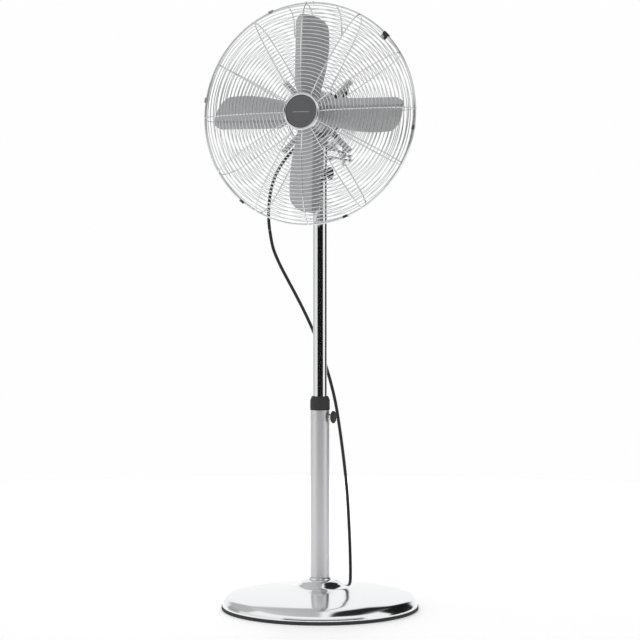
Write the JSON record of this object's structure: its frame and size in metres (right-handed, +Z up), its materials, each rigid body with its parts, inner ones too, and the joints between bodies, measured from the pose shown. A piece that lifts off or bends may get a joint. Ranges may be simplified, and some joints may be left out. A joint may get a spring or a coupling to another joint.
{
  "type": "pedestal fan",
  "caption": "Chromed pedestal fan with a round weighted foot, telescopic column, tilting and oscillating caged head, metal blades and a mains cord.",
  "frame": {"origin": "middle of the foot's underside, on the floor", "axes": "+Z up along the column, the fan head faces -Y, +X to the side of the two clamping knobs"},
  "size_m": [0.4446, 0.4716, 1.2195],
  "materials": {
    "chrome": "mirror-polished plating",
    "brushed_tube": "fine brushed along the tube",
    "steel": "plain machined",
    "rubber": "matte",
    "black_plastic": "fine moulded grain",
    "iron": "rough cast",
    "copper": "enamelled winding on laminations",
    "brass": "machined",
    "blade_metal": "satin",
    "badge_metal": "dark brushed",
    "cord_black": "satin flexible sheath"
  },
  "bodies": {
    "base": {"base_dome": "chrome", "base_edge_trim": "rubber", "base_bottom_plate": "black_plastic", "base_weight": "iron", "base_bolt": "steel", "foot_flange": "chrome", "lower_tube": "brushed_tube", "tube_foot": "steel", "guide_bush": "black_plastic", "collar": "black_plastic", "lock_boss": "chrome", "power_cord_lower": "cord_black", "cord_hank": "cord_black", "plug": "black_plastic"},
    "lock_knob": {"lock_knob": "black_plastic", "lock_screw": "steel"},
    "column": {"upper_tube": "chrome", "tube_plug": "black_plastic", "neck_socket": "chrome"},
    "neck": {"neck_arm": "chrome", "tilt_bolt": "steel", "pivot_pin": "steel", "cord_gland": "rubber", "power_cord_upper": "cord_black"},
    "tilt_knob": {"tilt_knob": "black_plastic"},
    "link_rod": {"link_rod": "steel"},
    "head": {"motor_base": "chrome", "motor_rear_shell": "chrome", "motor_front_shell": "chrome", "stator": "copper", "front_bearing": "brass", "rear_bearing": "brass", "capacitor": "black_plastic", "speed_switch": "black_plastic", "rear_grille": "chrome", "front_grille": "chrome", "guard_bracket": "chrome", "badge_bezel": "chrome", "badge": "badge_metal", "lock_clip": "black_plastic"},
    "rotor": {"rotor_core": "steel", "shaft": "steel", "blade_hub": "brushed_tube", "blade_1": "blade_metal", "blade_2": "blade_metal", "blade_3": "blade_metal", "blade_4": "blade_metal", "blade_nut": "chrome"},
    "worm_wheel": {"worm_wheel": "steel"},
    "oscillation_knob": {"oscillation_knob": "black_plastic"},
    "speed_knob": {"speed_knob": "black_plastic"},
    "clip_screw": {"clip_screw": "steel"},
    "rim_clip_1": {"rim_clip_1": "chrome"},
    "rim_clip_2": {"rim_clip_2": "chrome"},
    "rim_clip_3": {"rim_clip_3": "chrome"},
    "rim_clip_4": {"rim_clip_4": "chrome"},
    "rim_clip_5": {"rim_clip_5": "chrome"}
  },
  "joints": [
    {"name": "column_slide", "type": "slide", "parent": "base", "child": "column", "axis": [0, 0, 1], "range_m": [-0.235, 0], "deforming": ["power_cord_lower"]},
    {"name": "lock_knob_turn", "type": "hinge", "parent": "base", "child": "lock_knob", "pos_m": [0.028, 0, 0.39], "axis": [1, 0, 0], "range_deg": [0, 540]},
    {"name": "head_tilt", "type": "hinge", "parent": "column", "child": "neck", "pos_m": [0, 0, 0.8815], "axis": [1, 0, 0], "range_deg": [-20, 12], "deforming": ["power_cord_upper"]},
    {"name": "tilt_knob_turn", "type": "hinge", "parent": "neck", "child": "tilt_knob", "pos_m": [0.021, 0, 0.8815], "axis": [1, 0, 0], "range_deg": [0, 360]},
    {"name": "head_oscillation", "type": "hinge", "parent": "neck", "child": "head", "pos_m": [0, 0.00303, 0.92991], "axis": [0, 0.0624, 0.998], "range_deg": [-30, 30]},
    {"name": "link_rod_swing", "type": "hinge", "parent": "neck", "child": "link_rod", "pos_m": [0.022, 0.00205, 0.91434], "axis": [0, 0.0624, 0.998], "range_deg": [-31, 31]},
    {"name": "blade_spin", "type": "hinge", "parent": "head", "child": "rotor", "pos_m": [0, -0.07286, 0.99818], "axis": [0, 0.998, -0.0624], "continuous": true},
    {"name": "worm_wheel_spin", "type": "hinge", "parent": "head", "child": "worm_wheel", "pos_m": [0.022, 0.08683, 0.98819], "axis": [0, 0.0624, 0.998], "continuous": true},
    {"name": "oscillation_knob_pull", "type": "slide", "parent": "head", "child": "oscillation_knob", "axis": [0, 0.0624, 0.998], "range_m": [0, 0.008]},
    {"name": "speed_knob_turn", "type": "hinge", "parent": "head", "child": "speed_knob", "pos_m": [0, 0.12026, 0.96205], "axis": [0, 0.998, -0.0624], "range_deg": [0, 180]},
    {"name": "clip_screw_turn", "type": "hinge", "parent": "head", "child": "clip_screw", "pos_m": [0.15322, -0.06062, 1.14566], "axis": [0, -0.998, 0.0624], "range_deg": [0, 720]},
    {"name": "rim_clip_1_open", "type": "hinge", "parent": "head", "child": "rim_clip_1", "pos_m": [0.21786, -0.06978, 0.96731], "axis": [0.1392, 0.0618, 0.9883], "range_deg": [0, 50]},
    {"name": "rim_clip_2_open", "type": "hinge", "parent": "head", "child": "rim_clip_2", "pos_m": [0.08241, -0.0806, 0.79428], "axis": [0.9272, 0.0234, 0.3739], "range_deg": [0, 50]},
    {"name": "rim_clip_3_open", "type": "hinge", "parent": "head", "child": "rim_clip_3", "pos_m": [-0.13545, -0.07869, 0.82484], "axis": [0.788, -0.0384, -0.6145], "range_deg": [0, 50]},
    {"name": "rim_clip_4_open", "type": "hinge", "parent": "head", "child": "rim_clip_4", "pos_m": [-0.21786, -0.06595, 1.02842], "axis": [-0.1392, -0.0618, -0.9883], "range_deg": [0, 50]},
    {"name": "rim_clip_5_open", "type": "hinge", "parent": "head", "child": "rim_clip_5", "pos_m": [-0.08241, -0.05513, 1.20145], "axis": [-0.9272, -0.0234, -0.3739], "range_deg": [0, 50]}
  ],
  "couplings": [
    {"joint": "link_rod_swing", "follows": "head_oscillation", "ratio": 1},
    {"joint": "worm_wheel_spin", "follows": "blade_spin", "ratio": 0.025}
  ]
}
